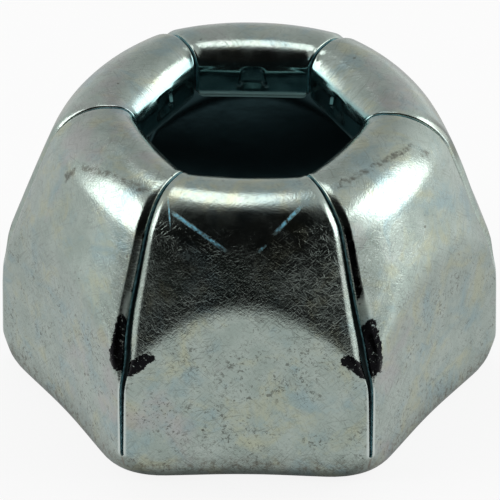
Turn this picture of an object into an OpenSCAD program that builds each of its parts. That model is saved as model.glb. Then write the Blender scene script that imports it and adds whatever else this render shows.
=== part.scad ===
// Push-on nut: one stamping of spring sheet steel. A hexagon skirt is drawn up into a round dome,
// slotted at its six corners, and each petal is rolled over the top into a flat gripping finger.
// Millimetres, +Z up along the stud. The origin is the middle of the base plane,
// one flat faces -Y and two corners lie on X.

/* [Skirt] */
// Width across the flats of the skirt
across_flats = 12.7; // [12.2:0.1:14]
// Thickness of the sheet
sheet = 0.6; // [0.4:0.05:0.7]
// Outside radius of the skirt's corners at the lower edge
rim_corner_round = 2; // [1:0.1:2.4]
// Outside radius of the same corners where the slots begin
corner_round = 0.25; // [0.2:0.05:0.9]
// Height over which the one radius becomes the other
corner_rise = 1.1; // [0.8:0.1:2]
// Outside radius of the trimmed lower edge
rim_round = 0.46; // [0.1:0.02:0.5]
// How far the middle of each flat bows inward at the base
flat_bow = 0.11; // [0:0.01:0.2]

/* [Dome] */
// Height from the base to the top of the rolled lip
height = 8.85; // [8.6:0.05:10]
// Height at which the middle of a flat turns inward
shoulder_z = 5.85; // [5.2:0.05:6.2]
// Radius of that turn
shoulder_round = 2.7; // [1.5:0.1:3.2]
// Lean of the petal above the flat, from the upright
flat_lean = 20; // [18:1:25]
// Radius over the top of the petal's middle
crown_round = 1.7; // [1.1:0.05:1.9]
// Height at which a corner turns inward
knee_z = 3.25; // [2.8:0.05:3.8]
// Radius of that turn
knee_round = 1.4; // [0.8:0.1:2.2]
// Lean of the dome beside a slot, from the upright
corner_lean = 20; // [17:1:22]
// Radius over the top of the petal beside a slot
crown_corner_round = 1.8; // [1.1:0.05:1.9]

/* [Lip] */
// Outside radius of the rolled lip in the middle of a petal
lip_round = 0.95; // [0.75:0.05:1.05]
// Outside radius of the rolled lip beside a slot
lip_corner_round = 0.54; // [0.46:0.02:0.58]
// How much lower the lip runs beside a slot
lip_corner_drop = 0.04; // [0:0.01:0.06]

/* [Fingers] */
// Distance between opposite fingers at the crease that grips the stud
grip_width = 5.8; // [5.4:0.1:5.9]
// Depth of the crease below the top of the lip
crease_depth = 0.65; // [0.6:0.05:0.9]
// Slope of the finger above the crease, from the level
finger_slope = 58; // [54:1:64]
// The same slope along the finger's edge beside a slot
finger_edge_slope = 85; // [82:1:87]
// Depth of the finger tip below the top of the lip
tip_depth = 1.65; // [1.5:0.05:2.2]
// Radius of the tip's gripping edge
tip_round = 0.28; // [0.05:0.01:0.35]
// Radius of the two tip corners
tip_corner_round = 0.38; // [0.2:0.02:0.5]

/* [Notches] */
// Depth of the stud seat pressed into the middle of each crease
notch_depth = 0.09; // [0.05:0.01:0.12]
// Width of the seat at its foot
notch_foot_width = 0.86; // [0.7:0.02:1.1]
// Width of the seat where it runs out above the crease
notch_head_width = 0.62; // [0.5:0.02:0.7]
// Height of the seat below the crease
notch_drop = 0.5; // [0.36:0.02:0.6]

/* [Slots] */
// Height of the round foot of each slot above the base
slot_foot_z = 0.94; // [0.8:0.02:1.6]
// Width of the slot at its foot
slot_foot_width = 0.09; // [0.06:0.01:0.12]
// Width of the slot at the knee
slot_knee_width = 0.2; // [0.14:0.01:0.22]
// Width of the slot at the top and between the fingers
slot_top_width = 0.09; // [0.07:0.01:0.16]
// Width of the rounded strip along each petal edge
edge_width = 0.5; // [0.3:0.02:0.6]
// Depth to which that strip falls toward the slot
edge_drop = 0.2; // [0.06:0.01:0.24]

/* [Hidden] */
sides = 6;
sector = 360 / sides;
half_sector = sector / 2;
to_corner = 1 / cos(half_sector);
half_flats = across_flats / 2;
grip = grip_width / 2;
crease_z = height - crease_depth;
tip_z = height - tip_depth;
seat_radius = grip + notch_depth;
// Share of the corner radius that a rounded hexagon corner loses to its point
point_loss = to_corner - 1;
skirt_corner = half_flats * to_corner - corner_round * point_loss;
corner_height = height - lip_corner_drop;
// Exponent that keeps a flat true until close to its corner
arch_power = 2.5;
// Fall of a finger's edge beside its slot
finger_edge_fall = 0.03;
crease_round = 0.12;
// Smallest radius and smallest step between points
hair = 0.001;
// Largest share of the sheet that an edge radius takes, which leaves a true flat rim
edge_share = 0.8;
// Facets round each corner of the profiles, outside and inside: shoulder, crown, lip, crease
outer_steps = [0, 5, 5, 7, 1, 0];
inner_steps = [0, 4, 4, 4, 1, 0];
rim_steps = 3;
skirt_steps = 3;
lean_steps = 3;
tip_steps = 3;
rim = min(rim_round, edge_share * sheet);
tip_edge = min(tip_round, edge_share * sheet);
// Columns beside a slot stand at these distances from its middle, and then spread evenly
blend_width = 0.25;
edge_columns = [0, 0.4 * edge_width, 0.7 * edge_width, edge_width, edge_width + blend_width];
spread_columns = 4;
// Overshoot of the cutters
clear = 1;
round_facets = 48;

function unit(v) = v / norm(v);
function left(v) = [-v[1], v[0]];
function cross2(u, v) = u[0] * v[1] - u[1] * v[0];
function between(a, b, x) = a + (b - a) * x;
function smooth(x) = x * x * (3 - 2 * x);
function turn_at(p, i) =
    let (u = unit(p[i] - p[i - 1]), v = unit(p[i + 1] - p[i]))
    atan2(cross2(u, v), u * v);

// Points of the round that replaces corner i of path p
function round_at(p, i, radius, steps) =
    let (u = unit(p[i] - p[i - 1]), t = turn_at(p, i), g = t < 0 ? -1 : 1)
    let (start = p[i] - u * abs(radius * tan(t / 2)), n = left(u) * g)
    let (middle = start + n * radius, a = atan2(-n[1], -n[0]))
    [for (k = [0:steps]) middle + radius * [cos(a + t * k / steps), sin(a + t * k / steps)]];

// Corner i of path p moved by t to the left of the path
function moved_at(p, i, t) =
    i == 0 ? p[0] + left(unit(p[1] - p[0])) * t
    : i == len(p) - 1 ? p[i] + left(unit(p[i] - p[i - 1])) * t
    : let (n = left(unit(p[i] - p[i - 1])), m = left(unit(p[i + 1] - p[i])))
      p[i] + (n + m) * t / (1 + n * m);
function moved(p, t) = [for (i = [0:len(p) - 1]) moved_at(p, i, t)];

// Profile through the middle of a flat: skirt, shoulder, crown, lip, crease and tip
crown_x = half_flats - (height - shoulder_z) * tan(flat_lean);
lip_x = grip + crease_depth / tan(finger_slope);
flat_path = [
    [half_flats, 0],
    [half_flats, shoulder_z],
    [crown_x, height],
    [lip_x, height],
    [grip, crease_z],
    [grip, tip_z]
];
// The crown's round ends where the lip's round begins
crown_room = crown_x - lip_x - lip_round * tan(finger_slope / 2);
crown = min(crown_round, crown_room / tan((90 - flat_lean) / 2) - hair);
flat_radii = [0, shoulder_round, crown, lip_round, crease_round, 0];

// Profile beside a slot, with the same corners in the same order
corner_grip = grip * to_corner - finger_edge_fall;
corner_crown_x = skirt_corner - (corner_height - knee_z) * tan(corner_lean);
corner_lip_x = corner_grip + (corner_height - crease_z) / tan(finger_edge_slope);
corner_path = [
    [skirt_corner, 0],
    [skirt_corner, knee_z],
    [corner_crown_x, corner_height],
    [corner_lip_x, corner_height],
    [corner_grip, crease_z],
    [corner_grip, tip_z]
];
corner_crown_room = corner_crown_x - corner_lip_x - lip_corner_round * tan(finger_edge_slope / 2);
corner_crown = min(crown_corner_round, corner_crown_room / tan((90 - corner_lean) / 2) - hair);
corner_radii = [0, knee_round, corner_crown, lip_corner_round, crease_round, 0];

function inner_radii(p, radii) =
    [for (i = [0:len(p) - 1]) i == 0 || i == len(p) - 1 ? 0
        : turn_at(p, i) < 0 ? radii[i] + sheet : max(radii[i] - sheet, hair)];

// Rows of [reach, height] from the rim to the tip: the skirt, then each round of the profile,
// with rows along the lean between shoulder and crown
function skirt_rows(p) =
    [for (k = [0:skirt_steps]) [p[0][0], between(rim, corner_rise, k / skirt_steps)]];
function body_rows(p, radii, steps) =
    let (rounds = [for (i = [1:len(p) - 2]) round_at(p, i, radii[i], steps[i])])
    let (low = rounds[0][steps[1]], high = rounds[1][0])
    concat(
        rounds[0],
        [for (k = [1:lean_steps]) between(low, high, k / (lean_steps + 1))],
        rounds[1], rounds[2], rounds[3]
    );
function rim_rows(p) =
    [for (k = [0:rim_steps - 1]) [p[0][0], rim - rim * cos(90 * k / rim_steps)]];
function tip_rows(p) =
    let (e = p[len(p) - 1])
    [for (k = [0:tip_steps]) let (a = 90 * k / tip_steps)
        [e[0] + tip_edge - tip_edge * cos(a), e[1] + tip_edge - tip_edge * sin(a)]];
function outer_rows(p, radii) =
    concat(rim_rows(p), skirt_rows(p), body_rows(p, radii, outer_steps), tip_rows(p));
function inner_rows(p, radii) =
    let (q = moved(p, sheet))
    concat([q[0]], skirt_rows(q), body_rows(q, inner_radii(p, radii), inner_steps), [q[len(q) - 1]]);

// For each row: the fall of its petal edge, the inset of the rim's round, and the share of its
// reach that comes from the prism and dome at its true height
function body_traits(steps) = concat(
    [for (k = [0:steps[1]]) [edge_drop, 0, 1]],
    [for (k = [1:lean_steps]) [edge_drop, 0, 1 - smooth(k / (lean_steps + 1))]],
    [for (k = [0:steps[2]]) [edge_drop, 0, 0]],
    [for (k = [0:steps[3]]) [between(edge_drop, finger_edge_fall, k / steps[3]), 0, 0]],
    [for (k = [0:steps[4]]) [finger_edge_fall, 0, 0]]
);
skirt_traits = [for (k = [0:skirt_steps]) [edge_drop, 0, 1]];
outer_traits = concat(
    [for (k = [0:rim_steps - 1]) [edge_drop, rim - rim * sin(90 * k / rim_steps), 1]],
    skirt_traits,
    body_traits(outer_steps),
    [for (k = [0:tip_steps]) [finger_edge_fall, 0, 0]]
);
inner_traits = concat(
    [[edge_drop, 0, 1]], skirt_traits, body_traits(inner_steps), [[finger_edge_fall, 0, 0]]
);

// Reach of a side at angle t from its middle: an arc through the middle reach a and the corner
// reach c, whose edge strip of width w falls by d toward the slot
function side_reach(a, c, d, w, t) =
    let (full = min(c + d, a * to_corner - hair / 10), sag = full * cos(half_sector) - a)
    let (radius = -(sag * sag + full * full / 4) / (2 * sag), m = a - radius)
    let (r = m * cos(t) + sqrt(radius * radius - pow(m * sin(t), 2)))
    let (s = r * sin(half_sector - abs(t)), strip = max(0, 1 - s / w))
    r - (full - min(c, full)) * strip * strip;

// Hexagon skirt at height z, this deep below its outer face: its corners sharpen upward
function prism_reach(z, t, depth) =
    let (x = smooth(min(max(z / corner_rise, 0), 1)))
    let (radius = max(between(rim_corner_round, corner_round, x) - depth, hair))
    let (a = half_flats - depth, loss = radius * point_loss)
    side_reach(a, a * to_corner - loss, loss, 2 * loss / tan(half_sector), t);

// Leaning dome at height z
function dome_reach(z, t, depth) = side_reach(
    half_flats - (z - shoulder_z) * tan(flat_lean) - depth / cos(flat_lean),
    skirt_corner - (z - knee_z) * tan(corner_lean) - depth / cos(corner_lean),
    edge_drop, edge_width, t
);

// The lesser of p and q, rounded where they come within k of each other
function soft_min(p, q, k) =
    let (h = max(k - abs(p - q), 0) / k)
    min(p, q) - h * h * k / 4;
function soft_width(radius, lean, depth) =
    max(radius - depth, hair) * lean * PI / 180 * tan(lean) / 2;
function true_reach(z, t, share, depth) = soft_min(
    prism_reach(z, t, depth), dome_reach(z, t, depth),
    between(soft_width(shoulder_round, flat_lean, depth), soft_width(knee_round, corner_lean, depth), share)
);

// Angles of one sector's columns, from one slot to just before the next
function half_angles(c) =
    let (edge = [for (s = edge_columns) half_sector - asin(s / c)], last = edge[len(edge) - 1])
    concat(edge, [for (k = [1:spread_columns]) last * (1 - k / spread_columns)]);
function sector_angles(c) =
    let (h = half_angles(c), n = len(h))
    concat([for (i = [0:n - 1]) -h[i]], [for (i = [n - 2:-1:1]) h[i]]);

// One ring of the shell from its flat row f, its corner row c and its traits
function ring(f, c, traits, depth) = [
    for (k = [0:sides - 1], t = sector_angles(c[0]))
        let (
            share = pow(abs(t) / half_sector, arch_power),
            z = between(f[1], c[1], share),
            bend = flat_bow * (1 + cos(sides * t)) / 2 * max(0, 1 - z / shoulder_z),
            rolled = side_reach(f[0], max(c[0], f[0] + hair), traits[0], edge_width, t),
            drawn = true_reach(z, t, share, depth) - traits[1],
            r = between(rolled, drawn, traits[2]) - bend,
            a = k * sector + t - 90
        )
        [r * cos(a), r * sin(a), z]
];

module sheet_shell() {
    f_out = outer_rows(flat_path, flat_radii);
    c_out = outer_rows(corner_path, corner_radii);
    f_in = inner_rows(flat_path, flat_radii);
    c_in = inner_rows(corner_path, corner_radii);
    n_out = len(f_out);
    n_in = len(f_in);
    rows = n_out + n_in;
    columns = sides * (2 * (len(edge_columns) + spread_columns) - 2);
    rings_out = [for (i = [0:n_out - 1]) ring(f_out[i], c_out[i], outer_traits[i], 0)];
    rings_in = [for (i = [n_in - 1:-1:0]) ring(f_in[i], c_in[i], inner_traits[i], sheet)];
    points = [for (r = concat(rings_out, rings_in)) each r];
    faces = [
        for (i = [0:rows - 1], j = [0:columns - 1], half = [0, 1])
            let (
                i2 = (i + 1) % rows,
                j2 = (j + 1) % columns,
                p = i * columns + j,
                q = i * columns + j2,
                u = i2 * columns + j,
                v = i2 * columns + j2
            )
            half == 0 ? [p, v, q] : [p, u, v]
    ];
    polyhedron(points = points, faces = faces, convexity = 8);
}

// Slot: narrow at its round foot, widest at the knee and narrow again over the lip
module slot_cutter() {
    reach = skirt_corner + clear;
    top = height + clear;
    foot = slot_foot_width / 2;
    knee = slot_knee_width / 2;
    tip = slot_top_width / 2;
    rotate([90, 0, 90])
        linear_extrude(height = reach) {
            polygon([
                [-foot, slot_foot_z], [foot, slot_foot_z], [knee, knee_z + knee_round],
                [tip, height - lip_round], [tip, top], [-tip, top],
                [-tip, height - lip_round], [-knee, knee_z + knee_round]
            ]);
            translate([0, slot_foot_z]) circle(d = slot_foot_width, $fn = round_facets);
        }
}

// Rounds of the two finger-tip corners at a slot, cut through the fingers only
module tip_corner_cutter() {
    edge = slot_top_width / 2;
    size = tip_corner_round;
    translate([corner_grip - clear, 0, tip_z])
        rotate([90, 0, 90])
            linear_extrude(height = clear + sheet * to_corner + clear / 2)
                difference() {
                    square([2 * (edge + size), 2 * size], center = true);
                    for (side = [-1, 1])
                        translate([side * (edge + size), size])
                            circle(r = size, $fn = round_facets);
                }
}

// Seat pressed into the crease: a cylinder of the stud's size, held to a trapezoid
module notch_cutter() {
    foot = crease_z - notch_drop;
    head = crease_z + notch_depth * tan(finger_slope);
    rotate([90, 0, 0])
        linear_extrude(height = grip + sheet / 2)
            polygon([
                [-notch_foot_width / 2, foot], [notch_foot_width / 2, foot],
                [notch_head_width / 2, head], [notch_head_width / 2, head + clear],
                [-notch_head_width / 2, head + clear], [-notch_head_width / 2, head]
            ]);
}

module push_on_nut() {
    color([0.66, 0.70, 0.69])
        difference() {
            sheet_shell();
            for (k = [0:sides - 1])
                rotate([0, 0, k * sector]) {
                    slot_cutter();
                    tip_corner_cutter();
                }
            intersection() {
                translate([0, 0, crease_z - notch_drop - clear])
                    cylinder(r = seat_radius, h = crease_depth + notch_drop + 2 * clear, $fn = round_facets);
                union()
                    for (k = [0:sides - 1])
                        rotate([0, 0, k * sector]) notch_cutter();
            }
        }
}

push_on_nut();
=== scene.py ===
from functools import reduce
import math
from types import SimpleNamespace

import bmesh
import bpy
import numpy as np
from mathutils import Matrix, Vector


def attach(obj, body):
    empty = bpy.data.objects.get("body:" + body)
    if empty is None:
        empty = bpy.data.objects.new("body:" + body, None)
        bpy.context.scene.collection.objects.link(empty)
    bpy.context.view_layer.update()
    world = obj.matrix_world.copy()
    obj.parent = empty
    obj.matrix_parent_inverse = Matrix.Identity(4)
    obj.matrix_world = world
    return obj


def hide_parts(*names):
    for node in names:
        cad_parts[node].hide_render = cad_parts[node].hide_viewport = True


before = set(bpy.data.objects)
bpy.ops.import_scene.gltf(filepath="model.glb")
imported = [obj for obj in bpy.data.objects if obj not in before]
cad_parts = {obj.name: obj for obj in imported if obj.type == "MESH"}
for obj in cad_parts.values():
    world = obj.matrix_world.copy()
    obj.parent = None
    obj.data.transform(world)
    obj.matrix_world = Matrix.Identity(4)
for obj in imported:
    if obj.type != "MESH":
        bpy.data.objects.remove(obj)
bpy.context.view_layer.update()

MM = 0.001

# Sizes of the nut in mm and degrees, the same as its source's
ACROSS_FLATS = 12.7
SHEET = 0.6
RIM_CORNER_ROUND = 2
CORNER_ROUND = 0.25
CORNER_RISE = 1.1
RIM_ROUND = 0.46
FLAT_BOW = 0.11
HEIGHT = 8.85
SHOULDER_Z = 5.85
FLAT_LEAN = 20
CROWN_ROUND = 1.7
KNEE_Z = 3.25
KNEE_ROUND = 1.4
CORNER_LEAN = 20
CROWN_CORNER_ROUND = 1.8
LIP_ROUND = 0.95
LIP_CORNER_ROUND = 0.54
LIP_CORNER_DROP = 0.04
GRIP = 2.9
CREASE_DEPTH = 0.65
FINGER_SLOPE = 58
FINGER_EDGE_SLOPE = 85
TIP_DEPTH = 1.65
TIP_ROUND = 0.28
TIP_CORNER_ROUND = 0.38
NOTCH_DEPTH = 0.09
NOTCH_FOOT_HALF = 0.43
NOTCH_HEAD_HALF = 0.31
NOTCH_DROP = 0.5
SLOT_FOOT_Z = 0.94
SLOT_FOOT_HALF = 0.045
SLOT_KNEE_HALF = 0.1
SLOT_TOP_HALF = 0.045
EDGE_DROP = 0.2
FINGER_EDGE_FALL = 0.03
ARCH_POWER = 2.5

# Rounds of the shoulder and crease, softer than the source's, and the strip along the petals' edges, which
# is narrower and rounder
SHOULDER_ROUND = 3.1
CREASE_ROUND = 0.55
EDGE_WIDTH = 0.42
EDGE_TOP_WIDTH = 0.27
EDGE_POWER = 1.4
# Round of the sheared edges along the slots, rim and tips, and the steps that draw it. The inner face's
# rows past it stay at least BURR_CLEAR rounds from the edge.
BURR = 0.045
BURR_STEPS = 2
BURR_CLEAR = 1.5
# Dent of the petals' edges beside the slots, at the knee
PINCH_Z = 3.95
PINCH_HEIGHT = 0.55
PINCH_WIDTH = 0.42
PINCH_DEPTH = 0.2

# Faults of the photographed stamping. Its petals' edges stand out at the right-hand slot: how far and over
# what width on the slot's near and far side, and the heights over which they rise and fall
PROUD_NEAR, PROUD_NEAR_WIDTH = 0.03, 0.35
PROUD_FAR, PROUD_FAR_WIDTH = 0.085, 0.9
PROUD_RISE, PROUD_FALL = (5.2, 7.0), (7.4, 8.5)
# Its dome is turned on the skirt, and its top a little more: by how many degrees, and over which heights
DOME_TURN, DOME_TURN_RISE = -1.0, (3.4, 5.8)
TOP_TURN, TOP_TURN_RISE = -0.65, (8.0, HEIGHT)

SIDES = 6
HALF = math.pi / SIDES
TO_CORNER = 1 / math.cos(HALF)
POINT_LOSS = TO_CORNER - 1
HALF_FLATS = ACROSS_FLATS / 2
CREASE_Z = HEIGHT - CREASE_DEPTH
TIP_Z = HEIGHT - TIP_DEPTH
SEAT_R = GRIP + NOTCH_DEPTH
SEAT_FOOT = CREASE_Z - NOTCH_DROP
SEAT_HEAD = CREASE_Z + NOTCH_DEPTH * math.tan(math.radians(FINGER_SLOPE))
SKIRT_CORNER = HALF_FLATS * TO_CORNER - CORNER_ROUND * POINT_LOSS
CORNER_HEIGHT = HEIGHT - LIP_CORNER_DROP
CORNER_GRIP = GRIP * TO_CORNER - FINGER_EDGE_FALL
# Smallest radius, and the half width under which a slot counts as closed
HAIR = 0.001
CLOSED = 1e-9


def tan_deg(a):
    return math.tan(math.radians(a))


def lerp(a, b, t):
    return a + (b - a) * t


def smooth(x):
    return x * x * (3 - 2 * x)


def smooth_step(low, high, x):
    return smooth(np.clip((x - low) / (high - low), 0, 1))


def profile(reach, lean, turn_z, turn_round, top, crown_round, grip, slope, lip_round):
    """Corners and radii of a profile: foot, shoulder, crown, lip, crease and tip."""
    crown_x = reach - (top - turn_z) * tan_deg(lean)
    lip_x = grip + (top - CREASE_Z) / tan_deg(slope)
    room = crown_x - lip_x - lip_round * tan_deg(slope / 2)
    crown = min(crown_round, room / tan_deg((90 - lean) / 2))
    points = [(reach, 0), (reach, turn_z), (crown_x, top), (lip_x, top), (grip, CREASE_Z), (grip, TIP_Z)]
    return np.array(points, float), [0, turn_round, crown, lip_round, CREASE_ROUND, 0]


FLAT = profile(HALF_FLATS, FLAT_LEAN, SHOULDER_Z, SHOULDER_ROUND, HEIGHT, CROWN_ROUND,
               GRIP, FINGER_SLOPE, LIP_ROUND)
CORNER = profile(SKIRT_CORNER, CORNER_LEAN, KNEE_Z, KNEE_ROUND, CORNER_HEIGHT, CROWN_CORNER_ROUND,
                 CORNER_GRIP, FINGER_EDGE_SLOPE, LIP_CORNER_ROUND)
# Numbers of a profile's corners
SHOULDER, CROWN, LIP, CREASE = 1, 2, 3, 4


def arc_points(path, i, depth, steps):
    """Points of the round at corner i of a profile, at a depth below the outer face."""
    points, radii = path
    u = points[i] - points[i - 1]
    u /= np.linalg.norm(u)
    v = points[i + 1] - points[i]
    v /= np.linalg.norm(v)
    turn = math.atan2(u[0] * v[1] - u[1] * v[0], u @ v)
    side = 1 if turn >= 0 else -1
    normal = np.array([-u[1], u[0]]) * side
    middle = points[i] - u * abs(radii[i] * math.tan(turn / 2)) + normal * radii[i]
    reach = max(radii[i] - side * depth, HAIR)
    first = math.atan2(-normal[1], -normal[0])
    angles = [first + turn * k / steps for k in range(steps + 1)]
    return [middle + reach * np.array([math.cos(a), math.sin(a)]) for a in angles]


# Heights of the rows up the skirt beside a slot, closest at the slot's foot
SKIRT_ROWS = [0.5, 0.58, 0.66, 0.75, 0.83, 0.88, 0.894, 0.9, 0.908, 0.92, 0.94, 0.97, 1.02, 1.1, 1.25, 1.5,
              1.8, 2.1, 2.4, 2.65]
# Rows before each round of a profile, and facets of the round
LINE_ROWS = {SHOULDER: 0, CROWN: 14, LIP: 3, CREASE: 5}
ARC_STEPS = {SHOULDER: 15, CROWN: 14, LIP: 18, CREASE: 4}
RIM_STEPS = 8
TIP_STEPS = 6
# Heights of the flank's rows
FLANK_ROWS = [8.02, 7.88, SEAT_FOOT + 0.07, SEAT_FOOT - 0.07, 7.54]
# Where a row keeps its traits, after four points of two numbers each. The inner face's inset comes last.
FALL, ZONE, DRAWN, INSET = 8, 9, 10, 11


def burr_round(k, level):
    """Inset and rise of a sheared edge's round at step k from the edge. Past it, the rise follows a level."""
    a = math.pi / 2 * min(k, BURR_STEPS) / BURR_STEPS
    rise = BURR * (1 - math.cos(a)) if k <= BURR_STEPS else max(level, BURR * BURR_CLEAR)
    return BURR * (1 - math.sin(a)), rise


def sheet_rows():
    """Rows of the sheet from the rim to the tip. Each holds the outer profiles' points in the middle of a
    flat and at a corner, the inner ones, the fall of the petal's edge, the zone (1 for a finger), the share
    drawn to the prism and dome, and the insets of the outer and the inner face."""
    out = []

    def add(points, fall, zone, drawn=0.0, inset=0.0, inner_inset=0.0):
        out.append([value for point in points for value in point] + [fall, zone, drawn, inset, inner_inset])

    def skirt(z_flat, z_corner, z_flat_in, z_corner_in, inset=0.0, inner_inset=0.0):
        points = [(HALF_FLATS, z_flat), (SKIRT_CORNER, z_corner),
                  (HALF_FLATS - SHEET, z_flat_in), (SKIRT_CORNER - SHEET, z_corner_in)]
        add(points, EDGE_DROP, 0, 1.0, inset, inner_inset)

    for k in range(RIM_STEPS + 1):
        a = math.pi / 2 * k / RIM_STEPS
        z = RIM_ROUND * (1 - math.cos(a))
        burr_inset, z_in = burr_round(k, z)
        skirt(z, z, z_in, z_in, RIM_ROUND * (1 - math.sin(a)), -burr_inset)
    knee_start = arc_points(CORNER, SHOULDER, 0, 1)[0][1]
    shoulder_start = arc_points(FLAT, SHOULDER, 0, 1)[0][1]
    for z in SKIRT_ROWS:
        z_flat = lerp(RIM_ROUND, shoulder_start, (z - RIM_ROUND) / (knee_start - RIM_ROUND))
        skirt(z_flat, z, z_flat, z)
    for i in (SHOULDER, CROWN, LIP, CREASE):
        steps, lines, last = ARC_STEPS[i], LINE_ROWS[i], out[-1]
        arcs = [arc_points(path, i, depth, steps) for depth in (0, SHEET) for path in (FLAT, CORNER)]
        for k in range(1, lines + 1):
            t = k / (lines + 1)
            points = [lerp(np.array(last[2 * j:2 * j + 2]), arcs[j][0], t) for j in range(4)]
            add(points, last[FALL], last[ZONE], 1 - smooth(t) if i == CROWN else 0.0)
        for k in range(steps + 1):
            fall = EDGE_DROP if i < LIP else FINGER_EDGE_FALL
            if i == LIP:
                fall = lerp(EDGE_DROP, FINGER_EDGE_FALL, k / steps)
            add([arc[k] for arc in arcs], fall, int(i >= LIP), float(i == SHOULDER))
    for z in FLANK_ROWS:
        add([(GRIP, z), (CORNER_GRIP, z), (GRIP + SHEET, z), (CORNER_GRIP + SHEET, z)], FINGER_EDGE_FALL, 1)
    for k in range(TIP_STEPS + 1):
        a = math.pi / 2 * k / TIP_STEPS
        x, rise = TIP_ROUND * (1 - math.cos(a)), TIP_ROUND * (1 - math.sin(a))
        burr_inset, rise_in = burr_round(TIP_STEPS - k, rise)
        x_in, z, z_in = SHEET - burr_inset, TIP_Z + rise, TIP_Z + rise_in
        points = [(GRIP + x, z), (CORNER_GRIP + x, z), (GRIP + x_in, z_in), (CORNER_GRIP + x_in, z_in)]
        add(points, FINGER_EDGE_FALL, 1)
    return np.array(out, float)


def edge_strip(reach, t, width):
    """1 at the corner between two sides, falling to 0 over a width beside it."""
    return np.maximum(0, 1 - reach * np.sin(HALF - np.abs(t)) / width)


def side_reach(mid, corner, fall, width, t, power=2.0):
    """Reach of a side at angle t: an arc through its mid and corner reach, whose edge strip of a width
    falls away."""
    full = np.minimum(corner + fall, mid * TO_CORNER - HAIR / 10)
    sag = full * math.cos(HALF) - mid
    radius = -(sag * sag + full * full / 4) / (2 * sag)
    middle = mid - radius
    reach = middle * np.cos(t) + np.sqrt(np.maximum(radius * radius - (middle * np.sin(t)) ** 2, 0))
    return reach - (full - np.minimum(corner, full)) * edge_strip(reach, t, width) ** power


def prism_reach(z, t, depth):
    """Hexagon skirt, whose corners sharpen upward."""
    rise = smooth(np.clip(z / CORNER_RISE, 0, 1))
    radius = np.maximum(lerp(RIM_CORNER_ROUND, CORNER_ROUND, rise) - depth, HAIR)
    mid, loss = HALF_FLATS - depth, radius * POINT_LOSS
    return side_reach(mid, mid * TO_CORNER - loss, loss, 2 * loss / math.tan(HALF), t)


def edge_width(z):
    """Width of the edge strip at height z, widest at the knee."""
    return lerp(EDGE_WIDTH, EDGE_TOP_WIDTH, np.clip((z - KNEE_Z) / (CREASE_Z - KNEE_Z), 0, 1))


def leaning(foot, foot_z, lean, z, depth):
    """Reach of a leaning face at height z, at a depth below it."""
    return foot - (z - foot_z) * tan_deg(lean) - depth / math.cos(math.radians(lean))


def dome_reach(z, t, depth):
    """Leaning dome."""
    mid = leaning(HALF_FLATS, SHOULDER_Z, FLAT_LEAN, z, depth)
    corner = leaning(SKIRT_CORNER, KNEE_Z, CORNER_LEAN, z, depth)
    return side_reach(mid, corner, EDGE_DROP, edge_width(z), t, EDGE_POWER)


def soft_width(radius, lean, depth):
    """How far apart the prism and the dome may be where a round of this radius joins them."""
    return max(radius - depth, HAIR) * math.radians(lean) * tan_deg(lean) / 2


def true_reach(z, t, share, depth):
    """Prism and dome where they meet, with the round between them."""
    prism, dome = prism_reach(z, t, depth), dome_reach(z, t, depth)
    at_flat = soft_width(SHOULDER_ROUND, FLAT_LEAN, depth)
    width = lerp(at_flat, soft_width(KNEE_ROUND, CORNER_LEAN, depth), share)
    overlap = np.maximum(width - np.abs(prism - dome), 0) / width
    return np.minimum(prism, dome) - overlap * overlap * width / 4


def face_at(rows, face, t):
    """Reach and height of the outer face (0) or the inner one (1) at angles t of every row."""
    mid, z_mid, corner, z_corner = [rows[:, k, None] for k in range(4 * face, 4 * face + 4)]
    fall, drawn, inset = rows[:, FALL, None], rows[:, DRAWN, None], rows[:, INSET + face, None]
    share = (t / HALF) ** ARCH_POWER
    z = lerp(z_mid, z_corner, share)
    rolled = side_reach(mid, np.maximum(corner, mid + HAIR), fall, edge_width(z), t, EDGE_POWER)
    reach = lerp(rolled, true_reach(z, t, share, SHEET * face) - inset, drawn)
    strip = edge_strip(reach, t, PINCH_WIDTH)
    pinch = PINCH_DEPTH * strip ** 2 * np.exp(-((z - PINCH_Z) / PINCH_HEIGHT) ** 2)
    bow = FLAT_BOW * (1 + np.cos(SIDES * t)) / 2 * np.maximum(0, 1 - z / SHOULDER_Z)
    return reach - pinch - bow, z


def slot_half(z, zone):
    """Half width of the slot at height z, in the dome or skirt (zone 0) or at a finger (zone 1)."""
    half = np.interp(z, [SLOT_FOOT_Z, KNEE_Z + KNEE_ROUND, HEIGHT - LIP_ROUND],
                     [SLOT_FOOT_HALF, SLOT_KNEE_HALF, SLOT_TOP_HALF])
    foot = np.sqrt(np.maximum(SLOT_FOOT_HALF ** 2 - (z - SLOT_FOOT_Z) ** 2, 0))
    half = np.where(z < SLOT_FOOT_Z, foot, half)
    below = np.clip(TIP_CORNER_ROUND - (z - TIP_Z), 0, TIP_CORNER_ROUND)
    tip = SLOT_TOP_HALF + TIP_CORNER_ROUND - np.sqrt(TIP_CORNER_ROUND ** 2 - below * below)
    return np.where(zone > 0, np.maximum(half, np.where(below > 0, tip, 0)), half)


# Columns of half a petal from its slot: the sheared edge's round, the edge strip, the flat and the seat
EDGE_TURNS = np.radians([90, 60, 30, 0])
STRIP = np.array([0.03, 0.08, 0.14, 0.19, 0.23, 0.28, 0.34, 0.43, 0.55])
SPREAD = 9
SEAT_GAP = math.radians(0.7)
# The columns' angles are found in a few rounds from a first guess, and the sine of their way from the slot
# is kept under the last of these
FIRST_GUESS = HALF - 0.02
GUESS_ROUNDS = 12
MOST_SINE = 0.9
# How far above its head the seat's cylinder still cuts the finger's slope
SEAT_RUN_OUT = 0.3


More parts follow.
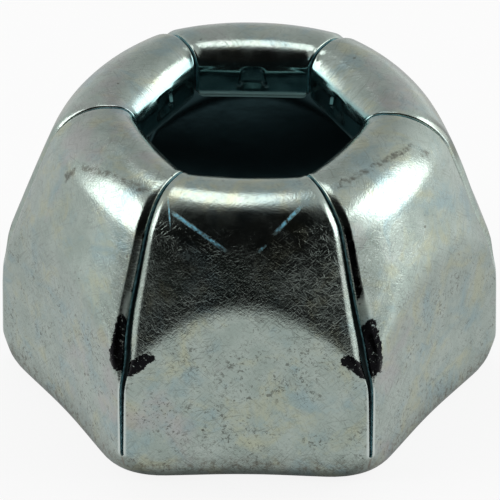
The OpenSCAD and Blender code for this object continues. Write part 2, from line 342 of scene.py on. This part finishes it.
def half_columns(rows, face, seat):
    """Angles from the flat's middle and edge drops of each row's columns, slot first."""
    offsets = np.concatenate([BURR * (1 - np.sin(EDGE_TURNS)), BURR + STRIP])
    drops = np.concatenate([BURR * (1 - np.cos(EDGE_TURNS)), np.zeros(len(STRIP))])
    at_foot = np.concatenate([[0], offsets[1:]])
    t = np.full((len(rows), len(offsets)), FIRST_GUESS)
    for _ in range(GUESS_ROUNDS):
        reach, z = face_at(rows, face, t)
        half = slot_half(z[:, :1], rows[:, ZONE, None])
        closed = half <= CLOSED
        sine = (half + np.where(closed, at_foot, offsets)) / reach
        t = HALF - np.arcsin(np.clip(sine, 0, MOST_SINE))
    at_seat = [seat + SEAT_GAP, seat - SEAT_GAP, seat * 0.5, np.zeros(len(rows))]
    spread = [lerp(t[:, -1], at_seat[0], k / SPREAD) for k in range(1, SPREAD)]
    rest = np.stack(spread + at_seat, axis=1)
    drops = np.concatenate([np.where(closed, 0, drops), np.zeros_like(rest)], axis=1)
    return np.concatenate([t, rest], axis=1), drops


def whole_face(here, there):
    """One face of a whole petal, from half of it and of the other face. Its sheared edges are rounded
    towards the other face, and the half is mirrored."""
    (points, drops), (others, _) = here, there
    way = (others - points) / np.linalg.norm(others - points, axis=2, keepdims=True)
    half = points + way * drops[:, :, None]
    mirrored = half[:, -2::-1].copy()
    mirrored[:, :, 0] *= -1
    return np.concatenate([half, mirrored], axis=1)


def petal_faces(rows):
    """Points of the front petal's outer and inner face, by row and column."""
    zone = rows[:, ZONE]
    share = np.where(zone > 0, np.clip((rows[:, 1] - SEAT_FOOT) / (SEAT_HEAD - SEAT_FOOT), 0, 1), 1)
    seat = np.arcsin(lerp(NOTCH_FOOT_HALF, NOTCH_HEAD_HALF, share) / SEAT_R)
    halves = []
    for face in (0, 1):
        t, drops = half_columns(rows, face, seat)
        reach, z = face_at(rows, face, t)
        if face == 0:
            in_seat = (t <= seat[:, None]) & (zone[:, None] > 0)
            in_seat &= (z > SEAT_FOOT) & (z < SEAT_HEAD + SEAT_RUN_OUT)
            reach = np.where(in_seat, np.maximum(reach, SEAT_R), reach)
        halves.append((np.stack([reach * np.sin(t), -reach * np.cos(t), z], axis=2), drops))
    return whole_face(*halves), whole_face(*halves[::-1])


# Numbers of the materials
PLATE, CUT, INSIDE = 0, 1, 2


def shell():
    """Vertices in mm, faces, material numbers and the vertices' depths (0 outside, 1 inside) of the nut."""
    rows = sheet_rows()
    outer, inner = petal_faces(rows)
    count, cols = outer.shape[:2]
    layer = count * cols
    zone = rows[:, ZONE]
    cut = (slot_half(outer[:, 0, 2], zone) > CLOSED) | (slot_half(inner[:, 0, 2], zone) > CLOSED)
    verts, depths, faces, numbers, walls = [], [], [], [], []
    for k in range(SIDES):
        a = k * 2 * HALF
        turn = np.array([[math.cos(a), -math.sin(a), 0], [math.sin(a), math.cos(a), 0], [0, 0, 1]])
        verts += [outer.reshape(-1, 3) @ turn.T, inner.reshape(-1, 3) @ turn.T]
        depths += [np.zeros(layer), np.ones(layer)]
        base = 2 * k * layer
        i, j = np.meshgrid(np.arange(count - 1), np.arange(cols - 1), indexing="ij")
        p = base + i * cols + j
        faces.append(np.stack([p, p + cols, p + cols + 1, p + 1], axis=2).reshape(-1, 4))
        p = p + layer
        faces.append(np.stack([p, p + 1, p + cols + 1, p + cols], axis=2).reshape(-1, 4))
        rim = base + np.arange(cols - 1)
        faces.append(np.stack([rim, rim + 1, rim + 1 + layer, rim + layer], axis=1))
        tip = rim + (count - 1) * cols
        faces.append(np.stack([tip, tip + layer, tip + 1 + layer, tip + 1], axis=1))
        numbers += [PLATE, INSIDE, PLATE, PLATE]
        for row in np.where(cut[1:] | cut[:-1])[0]:
            first = base + row * cols
            walls.append((first, first + layer, first + layer + cols, first + cols))
            last = first + cols - 1
            walls.append((last, last + cols, last + layer + cols, last + layer))
    faces.append(np.array(walls))
    numbers = np.repeat(numbers + [CUT], [len(part) for part in faces])
    return np.concatenate(verts), np.concatenate(faces), numbers, np.concatenate(depths)


def settled(verts):
    """Vertices with the stamping's own faults: the edges that stand out at the right-hand slot, and the turn
    of the dome and the top."""
    x, y, z = verts.T
    reach = np.hypot(x, y)
    past_slot = reach * (np.arctan2(x, -y) - math.pi / 2)
    out = np.where(past_slot > 0, PROUD_FAR * np.exp(-(past_slot / PROUD_FAR_WIDTH) ** 2),
                   PROUD_NEAR * np.exp(-(past_slot / PROUD_NEAR_WIDTH) ** 2))
    out *= smooth_step(*PROUD_RISE, z) * (1 - smooth_step(*PROUD_FALL, z))
    x, y = x * (1 + out / reach), y * (1 + out / reach)
    a = np.radians(DOME_TURN * smooth_step(*DOME_TURN_RISE, z) + TOP_TURN * smooth_step(*TOP_TURN_RISE, z))
    return np.stack([x * np.cos(a) - y * np.sin(a), x * np.sin(a) + y * np.cos(a), z], axis=1)


# Vertices nearer than this are one, and an edge shorter than this is none, in metres
SAME_PLACE = 2e-7
NO_LENGTH = 1e-8
SHARP_ANGLE = math.radians(32)


def nut_mesh():
    """Mesh of the nut: petals joined, shaded smooth but for its sharp edges. An attribute keeps the depth."""
    verts, faces, numbers, depths = shell()
    mesh = bpy.data.meshes.new("nut_shell")
    mesh.from_pydata((settled(verts) * MM).tolist(), [], faces.tolist())
    mesh.polygons.foreach_set("material_index", numbers)
    mesh.attributes.new("depth", "FLOAT", "POINT").data.foreach_set("value", depths)
    bm = bmesh.new()
    bm.from_mesh(mesh)
    bmesh.ops.remove_doubles(bm, verts=bm.verts, dist=SAME_PLACE)
    bmesh.ops.dissolve_degenerate(bm, edges=bm.edges, dist=NO_LENGTH)
    bmesh.ops.recalc_face_normals(bm, faces=bm.faces)
    bm.to_mesh(mesh)
    bm.free()
    mesh.shade_smooth()
    mesh.set_sharp_from_angle(angle=SHARP_ANGLE)
    return mesh


def add_object(name, data):
    ob = bpy.data.objects.new(name, data)
    bpy.context.collection.objects.link(ob)
    return ob


nut = add_object("nut_shell", nut_mesh())
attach(nut, "root")
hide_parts("push_on_nut")


# How far apart in mm the noises of different seeds are taken
SEED_STEP = (11.0, 7.0, -5.0)


class Nodes:
    """Short way to build the nodes of a material or world."""

    def __init__(self, owner):
        owner.use_nodes = True
        owner.node_tree.nodes.clear()
        self.tree = owner.node_tree

    def add(self, kind, values=None, **props):
        """A node whose inputs take sockets, numbers or colours."""
        node = self.tree.nodes.new(kind)
        for key, value in props.items():
            setattr(node, key, value)
        for key, value in (values or {}).items():
            if isinstance(value, bpy.types.NodeSocket):
                self.tree.links.new(value, node.inputs[key])
            else:
                node.inputs[key].default_value = value
        return node

    def math(self, op, *values):
        return self.add("ShaderNodeMath", dict(enumerate(values)), operation=op).outputs[0]

    def chain(self, op, values):
        return reduce(lambda so_far, value: self.math(op, so_far, value), values)

    def plus(self, *values):
        return self.chain("ADD", values)

    def times(self, *values):
        return self.chain("MULTIPLY", values)

    def most(self, *values):
        return self.chain("MAXIMUM", values)

    def minus(self, a, b):
        return self.math("SUBTRACT", a, b)

    def absolute(self, a):
        return self.math("ABSOLUTE", a)

    def same(self, a, b):
        """1 where two whole numbers are the same."""
        return self.math("COMPARE", a, b)

    def vector(self, op, *values):
        return self.add("ShaderNodeVectorMath", dict(enumerate(values)), operation=op).outputs

    def axes(self, vector):
        return self.add("ShaderNodeSeparateXYZ", {0: vector}).outputs

    def mm(self):
        """Object coordinates in mm."""
        place = self.add("ShaderNodeTexCoord").outputs["Object"]
        return self.vector("MULTIPLY", place, (1 / MM, 1 / MM, 1 / MM))["Vector"]

    def noise(self, vector, scale, detail=4, rough=0.5, distortion=0.0, seed=0):
        if seed:
            vector = self.vector("ADD", vector, [step * seed for step in SEED_STEP])["Vector"]
        return self.add("ShaderNodeTexNoise", {"Vector": vector, "Scale": scale, "Detail": detail,
                                               "Roughness": rough, "Distortion": distortion}).outputs["Fac"]

    def ramp(self, value, low, high, to_low=0.0, to_high=1.0):
        """Smooth step between two values, from to_low to to_high."""
        return self.add("ShaderNodeMapRange", {0: value, 1: low, 2: high, 3: to_low, 4: to_high},
                        interpolation_type="SMOOTHSTEP").outputs[0]

    def fade(self, value, low, high, level=1.0):
        """A level that goes to nothing between two values."""
        return self.ramp(value, low, high, level, 0.0)

    def span(self, value, rise, fall, level=1.0):
        """A level between two values, which comes in over rise and goes out over fall."""
        return self.times(self.ramp(value, *rise, 0.0, level), self.fade(value, *fall))

    def mix(self, share, one, two):
        """Number between one and two."""
        return self.add("ShaderNodeMix", {0: share, 2: one, 3: two}, data_type="FLOAT").outputs[0]

    def color_mix(self, share, one, two):
        """Colour between one and two."""
        return self.add("ShaderNodeMix", {0: share, 6: one, 7: two}, data_type="RGBA").outputs[2]

    def shader_mix(self, share, one, two):
        """Shader between one and two."""
        return self.add("ShaderNodeMixShader", {0: share, 1: one.outputs[0], 2: two.outputs[0]})

    def bump(self, height, distance, under=None, strength=1.0, invert=False):
        """Normal of a bump over the one under it, its distance in mm."""
        values = {"Strength": strength, "Distance": distance * MM, "Height": height}
        if under is not None:
            values["Normal"] = under
        return self.add("ShaderNodeBump", values, invert=invert).outputs[0]

    def surface(self, color, rough, normal, metallic=1.0):
        """The material's surface, given to its output."""
        bsdf = self.add("ShaderNodeBsdfPrincipled", {"Base Color": color, "Roughness": rough,
                                                     "Normal": normal, "Metallic": metallic})
        self.output("ShaderNodeOutputMaterial", bsdf)

    def output(self, kind, shader):
        self.add(kind, {0: shader.outputs[0]})


def new_material(name):
    material = bpy.data.materials.new(name)
    return material, Nodes(material)


# Colours of the plate and its clouds, of its wear and of what lies on it, and of the painted shade, dark
# reflections and highlights on it
PLATE_DARK, PLATE_PALE = (0.345, 0.415, 0.376, 1), (0.425, 0.495, 0.452, 1)
YELLOW_CLOUD, PINK_CLOUD, BLUE_CLOUD = (0.46, 0.48, 0.34, 1), (0.43, 0.40, 0.41, 1), (0.29, 0.41, 0.43, 1)
# Dark of the wear, also used for painted shade and painted dark reflections
WEAR_AND_SHADE_DARK = (0.10, 0.10, 0.085, 1)
STREAK_BLUE = (0.30, 0.74, 0.92, 1)
# Black of the painted shade in the dents at the knee and along the side petals' near edges
KNEE_SHADE_BLACK = (0.008, 0.008, 0.009, 1)
# Teal of the fingers, and the pale of their tips, which is a painted reflection of the floor
FINGER_TEAL, TIP_REFLECTION_PALE = (0.27, 0.43, 0.43, 1), (0.62, 0.76, 0.74, 1)
GRIME_BROWN, SEAM_BROWN = (0.14, 0.11, 0.08, 1), (0.26, 0.21, 0.17, 1)
# Pale of the painted highlights beside the skirt's slots
SLOT_HIGHLIGHT_PALE = (0.62, 0.69, 0.66, 1)
# Colours inside the shell, darkened as painted shade, and on the slots' cut walls, which are painted dark
# further in as shade
INSIDE_SHADE_DARK, INSIDE_SHADE_PALE = (0.09, 0.13, 0.145, 1), (0.11, 0.155, 0.17, 1)
CUT_DARK, CUT_PALE, CUT_DEEP_SHADE = (0.13, 0.28, 0.31, 1), (0.42, 0.74, 0.80, 1), (0.006, 0.012, 0.012, 1)

# How much the height along a petal's face counts less for each mm out from the axis
UP_SLOPE = 0.8
# Crossed scratches: angle in degrees, seed, and the noise's level at which they start to show. Then the level
# at which they are full, the noise's scale along and across them, and its step from petal to petal
SCRATCHES = ((47, 0.0, 0.54), (-42, 5.1, 0.54), (12, 9.7, 0.62), (-72, 14.2, 0.62))
SCRATCH_FULL = 0.7
SCRATCH_ALONG, SCRATCH_ASIDE = 1.9, 18.0
PETAL_STEP = 17.3
# How deep the sheet's waves, the pebbles and the scratches are in mm
WAVE_DEPTH, PEBBLE_DEPTH, SCRATCH_DEPTH = 0.014, 0.008, 0.003
# Heights over which the front petal's worn face ends at the top
FRONT_END = (8.1, 8.5)
# Straight marks: petal, start and end in mm across and up it, and width
# In the first table: dark lines painted over the side petals' crowns as dark reflections
DARK_REFLECTION_MARKS = ((-1, (-1.15, 2.9), (-0.45, 4.1), 0.3), (-1, (-0.8, 3.95), (2.3, 5.2), 0.34),
             (1, (-2.4, 5.55), (1.5, 4.6), 0.26), (1, (1.0, 4.7), (1.6, 3.7), 0.34))
BLUE_STREAKS = ((0, (-2.3, 4.75), (-0.5, 3.1), 0.1), (0, (1.65, 5.0), (0.7, 3.7), 0.1),
                (0, (0.62, 3.5), (0.3, 3.1), 0.08), (0, (-2.3, 5.3), (-2.2, 3.9), 0.032))
# Painted shade in the dents at the knee, as black spots
KNEE_SHADE_SPOTS = ((-1, (3.3, -1.5), (3.15, 0.9), 0.36), (1, (-3.35, -1.6), (-3.15, 0.8), 0.36),
              (0, (-3.75, -1.4), (-2.6, -0.45), 0.32), (0, (3.75, -1.4), (2.6, -0.45), 0.32))
# The most that a mark's fading ends take of its length in mm, and the share of its width that is full
MARK_END, MARK_FULL = 0.45, 0.2


def petal_axes(n):
    """Object coordinates in mm and those of the petals: a petal's number, 0 in front and 1 to its right, the
    place across it, up its face and out from the axis, and how far it is from the middle of a slot."""
    mm = n.mm()
    x, y, z = n.axes(mm)
    number = n.math("ROUND", n.math("DIVIDE", n.math("ARCTAN2", x, n.times(y, -1.0)), 2 * HALF))
    turn = n.times(number, 2 * HALF)
    cos, sin = n.math("COSINE", turn), n.math("SINE", turn)
    across = n.plus(n.times(x, cos), n.times(y, sin))
    out = n.minus(n.times(x, sin), n.times(y, cos))
    up = n.minus(z, n.times(out, UP_SLOPE))
    beside = n.minus(n.times(out, math.sin(HALF)), n.times(n.absolute(across), math.cos(HALF)))
    return SimpleNamespace(mm=mm, number=number, across=across, up=up, out=out, z=z, beside=beside)


def hairlines(n, petal, angle, seed, level):
    """Thin straight scratches at an angle on each petal, 1 where they are."""
    c, s = math.cos(angle), math.sin(angle)
    along = n.plus(n.times(petal.across, c), n.times(petal.up, s))
    aside = n.minus(n.times(petal.up, c), n.times(petal.across, s))
    drawn = n.add("ShaderNodeCombineXYZ", {0: n.times(along, SCRATCH_ALONG), 1: n.times(aside, SCRATCH_ASIDE),
                                           2: n.plus(n.times(petal.number, PETAL_STEP), seed)}).outputs[0]
    return n.ramp(n.noise(drawn, 1.0, 2, 0.6), level, SCRATCH_FULL)


def mark(n, petal, number, start, end, width):
    """A straight mark on one petal, 1 along its middle."""
    length = math.hypot(end[0] - start[0], end[1] - start[1])
    c, s = (end[0] - start[0]) / length, (end[1] - start[1]) / length
    x, y = n.minus(petal.across, start[0]), n.minus(petal.up, start[1])
    along = n.plus(n.times(x, c), n.times(y, s))
    aside = n.absolute(n.minus(n.times(y, c), n.times(x, s)))
    end_length = min(MARK_END, length / 2)
    here = n.span(along, (0.0, end_length), (length - end_length, length))
    return n.times(here, n.same(petal.number, number), n.fade(aside, width * MARK_FULL, width))


def marks(n, petal, places):
    return n.most(*[mark(n, petal, *place) for place in places])


def near_edges(n, petal, chosen, width, rise, fall, level=1.0):
    """Strips along the chosen petals' edges towards the photographer. They fade over a width beside the
    slot, and come in and go out over heights up the petal."""
    near = n.math("LESS_THAN", n.times(petal.number, petal.across), 0.0)
    return n.times(n.fade(petal.beside, *width, level), chosen, near, n.span(petal.up, rise, fall))


def clouds(n, petal):
    """Tint of the plate: green-grey, with yellow, pink and blue clouds."""
    tone = n.ramp(n.noise(petal.mm, 1.3, 5, 0.65), 0.3, 0.7)
    yellow = n.ramp(n.noise(petal.mm, 0.9, 5, 0.62, 0.6, seed=1), 0.5, 0.7, 0.0, 0.65)
    pink = n.ramp(n.noise(petal.mm, 0.42, 4, 0.55, 0.4, seed=2), 0.56, 0.72, 0.0, 0.5)
    blue = n.ramp(n.noise(petal.mm, 0.8, 5, 0.6, 0.5, seed=3), 0.5, 0.7, 0.0, 0.65)
    color = n.color_mix(tone, PLATE_DARK, PLATE_PALE)
    for share, tint in ((yellow, YELLOW_CLOUD), (pink, PINK_CLOUD), (blue, BLUE_CLOUD)):
        color = n.color_mix(share, color, tint)
    return color


def scratches(n, petal, front):
    """Scratches that cross each other in patches, fainter on the front petal's top."""
    lines = [hairlines(n, petal, math.radians(angle), seed, level) for angle, seed, level in SCRATCHES]
    patches = n.ramp(n.noise(petal.mm, 0.6, 3, 0.6, seed=4), 0.38, 0.6, 0.4, 1.0)
    polished = n.times(front, n.ramp(petal.z, *FRONT_END, 0.0, 0.8))
    return n.times(n.most(*lines), patches, n.minus(1.0, polished))


def knee_shade_spots(n, petal, sides, torn):
    """Black painted shade with torn outlines in the dents where the petals' edges are pinched, at the knee
    beside the front slots and up the side petals' near edges. Specks of the plate show through it."""
    band = near_edges(n, petal, sides, (0.06, 0.3), (1.1, 1.9), (3.6, 4.4), 0.8)
    spot = n.ramp(n.plus(n.most(marks(n, petal, KNEE_SHADE_SPOTS), band), torn), 0.36, 0.5)
    sparks = n.noise(petal.mm, 9.0, 4, 0.7, 0.8, seed=1)
    return n.times(spot, n.ramp(sparks, 0.6, 0.67, 1.0, 0.1))


def specks(n, petal):
    """Small round pits, and grit in patches, which is fainter towards the top."""
    cell = n.add("ShaderNodeTexVoronoi", {"Vector": petal.mm, "Scale": 1.5, "Randomness": 1.0}, feature="F1")
    size = n.ramp(n.noise(petal.mm, 2.1, 2, seed=1), 0.42, 0.72, 0.0, 0.09)
    pit = n.math("LESS_THAN", cell.outputs["Distance"], size)
    grit = n.ramp(n.noise(petal.mm, 8.5, 3, 0.75, 0.5), 0.54, 0.62)
    patches = n.ramp(n.noise(petal.mm, 1.0, 4, 0.65, 0.5, seed=2), 0.43, 0.6, 0.3, 1.0)
    grit = n.times(grit, patches, n.ramp(petal.z, 4.0, 6.5, 1.0, 0.4))
    return n.most(n.times(pit, 0.75), n.times(grit, 0.65))


def skirt_stains_and_highlights(n, petal, color):
    """The colour with brown grime low on the skirt, pale painted highlights beside the slots, and a brown
    line from each slot's foot to the rim."""
    patches = n.ramp(n.noise(petal.mm, 6.0, 4, 0.7, seed=1), 0.48, 0.62)
    outside = n.ramp(petal.out, 5.5, 6.0, 0.0, 0.55)
    grime = n.times(n.span(petal.z, (0.2, 0.45), (0.55, 1.0)), patches, outside)
    # Pale painted highlights beside the slots on the skirt
    slot_highlight = n.times(n.fade(petal.beside, 0.1, 0.17), n.span(petal.z, (0.8, 1.0), (3.1, 3.7)))
    seam = n.times(n.fade(petal.beside, 0.0, 0.06, 0.7), n.span(petal.z, (0.3, 0.6), (0.75, 0.9)))
    for share, stain in ((grime, GRIME_BROWN), (slot_highlight, SLOT_HIGHLIGHT_PALE), (seam, SEAM_BROWN)):
        color = n.color_mix(share, color, stain)
    return color


def zinc_material():
    """Bright zinc plate on steel: cloudy tint, crossed scratches, streaks, specks and stains, with painted
    shade, dark reflections and highlights, over a waved and pebbled skin."""
    material, n = new_material("bright_zinc")
    petal = petal_axes(n)
    front, side_number = n.same(petal.number, 0.0), n.absolute(petal.number)
    sides = n.same(side_number, 1.0)
    torn = n.times(n.minus(n.noise(petal.mm, 5.0, 5, 0.7, seed=3), 0.5), 2.0)

    # Marks: dark lines painted over the side petals' crowns as dark reflections, blue streaks on the front
    # one, and painted shade on the edge of the petal behind the right-hand slot
    scratch = scratches(n, petal, front)
    dark_reflection = n.ramp(n.plus(marks(n, petal, DARK_REFLECTION_MARKS), n.times(torn, 1.4)), 0.6, 1.4)
    broken = n.ramp(n.noise(petal.mm, 9.0, 4, 0.75), 0.42, 0.56, 0.25, 1.0)
    streak = n.times(marks(n, petal, BLUE_STREAKS), broken)
    shade = near_edges(n, petal, n.same(petal.number, 2.0), (0.25, 0.5), (2.4, 3.2), (4.2, 5.2), 0.7)
    dark = n.most(specks(n, petal), shade, n.times(scratch, 0.3), n.times(dark_reflection, 0.85))
    color = n.color_mix(dark, clouds(n, petal), WEAR_AND_SHADE_DARK)
    color = n.color_mix(streak, color, STREAK_BLUE)
    # Black painted shade at the knee dents and up the side petals' near edges
    color = n.color_mix(knee_shade_spots(n, petal, sides, torn), color, KNEE_SHADE_BLACK)

    # The fingers' faces below the crease are smooth and teal, and their tips are painted pale as a reflection
    # of the floor, most of all at the back
    finger = n.fade(petal.out, 3.0, 3.12)
    color = n.color_mix(finger, color, FINGER_TEAL)
    tip = n.times(n.fade(petal.out, 3.2, 3.5), n.fade(petal.z, TIP_Z + 0.25, TIP_Z + 0.4),
                  n.ramp(side_number, 2.2, 2.8, 0.25, 1.0))
    color = skirt_stains_and_highlights(n, petal, n.color_mix(tip, color, TIP_REFLECTION_PALE))

    # Skin: waves of the drawn sheet, pebbles and scratches, deepest on the front petal and least on fingers
    worn_front = n.times(front, n.fade(petal.z, *FRONT_END))
    skin = n.times(n.minus(1.0, n.times(finger, 0.9)), n.plus(n.times(worn_front, 0.5), 0.5))
    normal = n.bump(n.noise(petal.mm, 0.75, 2, 0.5), WAVE_DEPTH)
    normal = n.bump(n.times(n.noise(petal.mm, 14.0, 2, 0.6), skin), PEBBLE_DEPTH, normal)
    normal = n.bump(n.times(scratch, skin), SCRATCH_DEPTH, normal, 0.8, invert=True)

    # Roughness: cloudy, and more where the plate is dark, streaked or pinched, and at the tips
    wedge = near_edges(n, petal, sides, (0.2, 0.45), (0.0, 0.4), (1.0, 1.8))
    rough = n.plus(n.ramp(n.noise(petal.mm, 1.7, 4, 0.6), 0.3, 0.7, 0.12, 0.22), n.times(dark, skin, 0.4),
                   n.times(streak, 0.5), n.times(tip, 0.22), n.times(wedge, 0.6))
    n.surface(color, rough, normal)
    return material


def shaded_inner_zinc_material():
    """Thin teal plate inside the shell, unworn, painted dark as shade."""
    material, n = new_material("inner_zinc")
    mm = n.mm()
    color = n.color_mix(n.ramp(n.noise(mm, 0.9, 3, 0.55), 0.35, 0.65), INSIDE_SHADE_DARK, INSIDE_SHADE_PALE)
    n.surface(color, 0.22, n.bump(n.noise(mm, 2.0, 3, 0.5), 0.006))
    return material


def cut_edge_material():
    """Sheared walls of the slots: torn, teal from the plating's passivation, and painted dark further in as
    shade between the walls.
    """
    material, n = new_material("teal_cut_edge")
    tear = n.noise(n.vector("MULTIPLY", n.mm(), (2.0, 2.0, 9.0))["Vector"], 1.0, 4, 0.65)
    depth = n.add("ShaderNodeAttribute", attribute_name="depth").outputs["Fac"]
    color = n.color_mix(n.ramp(tear, 0.35, 0.7), CUT_DARK, CUT_PALE)
    # Painted shade deeper in the slot
    color = n.color_mix(n.ramp(depth, 0.04, 0.3), color, CUT_DEEP_SHADE)
    n.surface(color, 0.5, n.bump(tear, 0.01), metallic=0.1)
    return material


# In the order of PLATE, CUT and INSIDE
for make_material in (zinc_material, cut_edge_material, shaded_inner_zinc_material):
    nut.data.materials.append(make_material())


# The floor: its half width in metres, its colours, and how bright the camera and the nut see it
FLOOR_HALF = 0.6
# The dark under the nut is a painted shadow
FLOOR_WHITE, FLOOR_SHADOW_DARK = (0.9, 0.9, 0.9, 1), (0.010, 0.019, 0.022, 1)
GLOW_WHITE, LIGHT_POOL_TEAL = (1, 1, 1, 1), (0.7, 1.0, 1.0, 1)
CAMERA_SHARE = 0.88
MIRRORED_LEVEL = 0.76
# How much closer in mm the rim's shadow ends at the hexagon's slanting sides
SLANT_CLOSER = 0.5


def mirrored_light_and_shadow(n, x, y):
    """Painted light and shade of the floor in the nut's own reflections: paler to both sides, darker far
    towards the photographer and behind the nut, and a painted shadow close to its rim."""
    wide, deep = n.absolute(x), n.absolute(y)
    right, left = n.ramp(x, 10.0, 24.0, 0.0, 0.42), n.fade(x, -24.0, -10.0, 0.14)
    far = n.ramp(wide, 4.0, 14.0, -95.0, -41.0)
    slant = n.plus(n.times(wide, math.cos(HALF)), n.times(deep, math.sin(HALF)))
    hexagon = n.most(deep, n.plus(slant, SLANT_CLOSER))
    return n.times(n.plus(MIRRORED_LEVEL, right, left), n.ramp(y, far, -14.0, 0.1, 1.0),
                   n.ramp(y, -3.0, 6.0, 1.0, 0.84), n.ramp(hexagon, 5.9, 7.9, 0.15, 1.0))


def floor_material():
    """White floor, seen only from above. Under the nut it is painted dark as shadow, and in reflections it
    has two painted patches of the light that falls through the hole."""
    material, n = new_material("floor_white")
    rays = n.add("ShaderNodeLightPath").outputs
    mm = n.mm()
    x, y, _ = n.axes(mm)
    outside = n.ramp(n.vector("LENGTH", mm)["Value"], 5.4, 6.0)
    mirrored = n.most(rays["Is Glossy Ray"], rays["Is Transmission Ray"])
    seen = n.most(n.times(rays["Is Camera Ray"], CAMERA_SHARE), mirrored)
    level = n.mix(mirrored, 1.0, mirrored_light_and_shadow(n, x, y))
    # Painted pools of light under the hole, seen only in reflections
    patches = n.plus(n.fade(y, -3.1, -2.3, 0.36), n.ramp(y, 1.7, 2.6, 0.0, 0.18))
    strength = n.mix(outside, n.times(patches, mirrored), level)
    diffuse = n.add("ShaderNodeBsdfDiffuse", {"Color": n.color_mix(outside, FLOOR_SHADOW_DARK, FLOOR_WHITE)})
    glow_and_light_pools = n.add("ShaderNodeEmission", {"Color": n.color_mix(outside, LIGHT_POOL_TEAL, GLOW_WHITE),
                                        "Strength": strength})
    lit = n.shader_mix(n.mix(outside, mirrored, seen), diffuse, glow_and_light_pools)
    below = n.add("ShaderNodeNewGeometry").outputs["Backfacing"]
    n.output("ShaderNodeOutputMaterial", n.shader_mix(below, lit, n.add("ShaderNodeBsdfTransparent")))
    return material


floor_mesh = bpy.data.meshes.new("floor")
floor_corners = [(x * FLOOR_HALF, y * FLOOR_HALF, 0) for x, y in ((-1, -1), (1, -1), (1, 1), (-1, 1))]
floor_mesh.from_pydata(floor_corners, [], [(0, 1, 2, 3)])
floor = add_object("floor", floor_mesh)
floor.data.materials.append(floor_material())


# The studio's walls: their level, how much paler they are to the sides and on the right, how much darker
# upward, and how bright at the least. The dark part is the photographer's side, 25 degrees up: how much it
# narrows to the sides, and the cosines from its middle over which it comes in
WALL_LEVEL = 0.56
WALL_SIDES = 0.5
WALL_RIGHT = 0.17
WALL_UP = 0.18
WALL_LEAST = 0.007
NEAR_WAY = (0.0, -0.906, 0.423)
NEAR_NARROWING = 0.25
NEAR_RISE = (0.22, 0.55)
WHITE = (1, 1, 1, 1)


def studio_world():
    """Grey studio walls, dark on the photographer's side of the room. The camera itself sees white."""
    world = bpy.data.worlds.new("studio")
    n = Nodes(world)
    way = n.add("ShaderNodeTexCoord").outputs["Generated"]
    x, _, z = n.axes(way)
    side = n.absolute(x)
    walls = n.plus(n.times(side, WALL_SIDES), n.times(x, WALL_RIGHT), WALL_LEVEL)
    walls = n.times(walls, n.minus(1.0, n.times(n.most(z, 0.0), WALL_UP)))
    near = n.minus(n.vector("DOT_PRODUCT", way, NEAR_WAY)["Value"], n.times(side, side, NEAR_NARROWING))
    level = n.plus(n.times(walls, n.fade(near, *NEAR_RISE)), WALL_LEAST)
    room = n.add("ShaderNodeBackground", {"Color": WHITE, "Strength": level})
    white = n.add("ShaderNodeBackground", {"Color": WHITE, "Strength": 1.0})
    to_camera = n.add("ShaderNodeLightPath").outputs["Is Camera Ray"]
    n.output("ShaderNodeOutputWorld", n.shader_mix(to_camera, room, white))
    return world


bpy.context.scene.world = studio_world()

# Soft boxes as they are seen from the nut: azimuth (0 towards the photographer), elevation, width and height
# in degrees, radiance and shape
LAMP_DISTANCE = 0.3
SOFT_LAMPS = {
    "left_soft": (-88, 27, 34, 42, 2.3, "RECTANGLE"),
    "right_soft": (99, 21, 36, 50, 2.3, "RECTANGLE"),
    "top_soft": (-166, 67, 24, 30, 1.9, "ELLIPSE"),
}


def direction(azimuth, elevation):
    """Way from the nut at these angles in radians, azimuth 0 towards the photographer."""
    level = math.cos(elevation)
    return Vector((math.sin(azimuth) * level, -math.cos(azimuth) * level, math.sin(elevation)))


def soft_lamp(name, azimuth, elevation, width, height, radiance, shape):
    lamp = bpy.data.lights.new(name, "AREA")
    lamp.shape = shape
    lamp.size = 2 * LAMP_DISTANCE * math.tan(math.radians(width / 2))
    lamp.size_y = 2 * LAMP_DISTANCE * math.tan(math.radians(height / 2))
    area = lamp.size * lamp.size_y * (math.pi / 4 if shape == "ELLIPSE" else 1)
    lamp.energy = radiance * math.pi * area
    ob = add_object(name, lamp)
    way = direction(math.radians(azimuth), math.radians(elevation))
    ob.location = way * LAMP_DISTANCE
    ob.rotation_euler = way.to_track_quat("Z", "Y").to_euler()


for lamp_name, values in SOFT_LAMPS.items():
    soft_lamp(lamp_name, *values)

# Camera at the photograph's angle, its distance in metres, and the photograph's frame and scale
CAMERA_AZIMUTH, CAMERA_ELEVATION = math.radians(0.81), math.radians(34.612)
CAMERA_DISTANCE = 0.4
CLIP_NEAR, CLIP_FAR = 0.05, 5
SENSOR = 36
FRAME_PIXELS = 500
PIXELS_PER_MM = 34.017
# The point in the frame's middle, in mm: to the right of the nut's axis, and up
TARGET_RIGHT, TARGET_UP = 0.018, 3.862

camera = add_object("camera", bpy.data.cameras.new("camera"))
camera.data.sensor_width = SENSOR
camera.data.lens = SENSOR * CAMERA_DISTANCE / (FRAME_PIXELS / PIXELS_PER_MM * MM)
camera.data.clip_start, camera.data.clip_end = CLIP_NEAR, CLIP_FAR
aside = TARGET_RIGHT * MM
target = Vector((aside * math.cos(CAMERA_AZIMUTH), aside * math.sin(CAMERA_AZIMUTH), TARGET_UP * MM))
camera.location = target + direction(CAMERA_AZIMUTH, CAMERA_ELEVATION) * CAMERA_DISTANCE
camera.rotation_euler = (math.pi / 2 - CAMERA_ELEVATION, 0, CAMERA_AZIMUTH)
bpy.context.scene.camera = camera
bpy.context.scene.view_settings.view_transform = "Standard"
